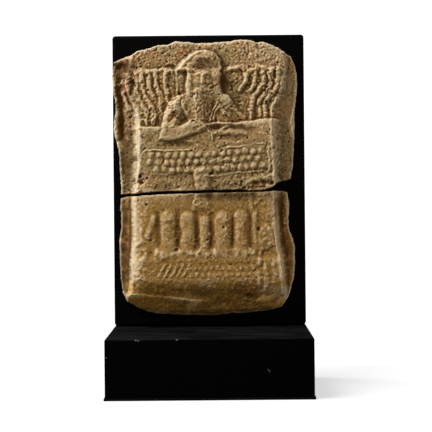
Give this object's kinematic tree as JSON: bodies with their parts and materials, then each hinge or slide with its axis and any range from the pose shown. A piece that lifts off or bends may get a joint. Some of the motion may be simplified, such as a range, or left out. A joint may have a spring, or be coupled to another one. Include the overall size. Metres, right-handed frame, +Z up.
{
  "type": "terracotta plaque on a stand",
  "caption": "Moulded terracotta relief plaque, broken across into an upper and a lower fragment, held upright against a black board on a block stand.",
  "frame": {"origin": "middle of the felt pad's underside, on the surface that the stand rests on", "axes": "+Z up, -Y the way the relief faces, +X to the right of someone who looks at the relief"},
  "size_m": [0.105, 0.0666, 0.1881],
  "materials": {
    "fired_clay": "matte, pitted",
    "black_paint": "matte painted",
    "black_felt": "matte"
  },
  "bodies": {
    "root": {"upper_fragment": "fired_clay", "lower_fragment": "fired_clay", "back_board": "black_paint", "base_block": "black_paint", "corner_spacer": "black_paint", "felt_pad": "black_felt"}
  },
  "joints": []
}
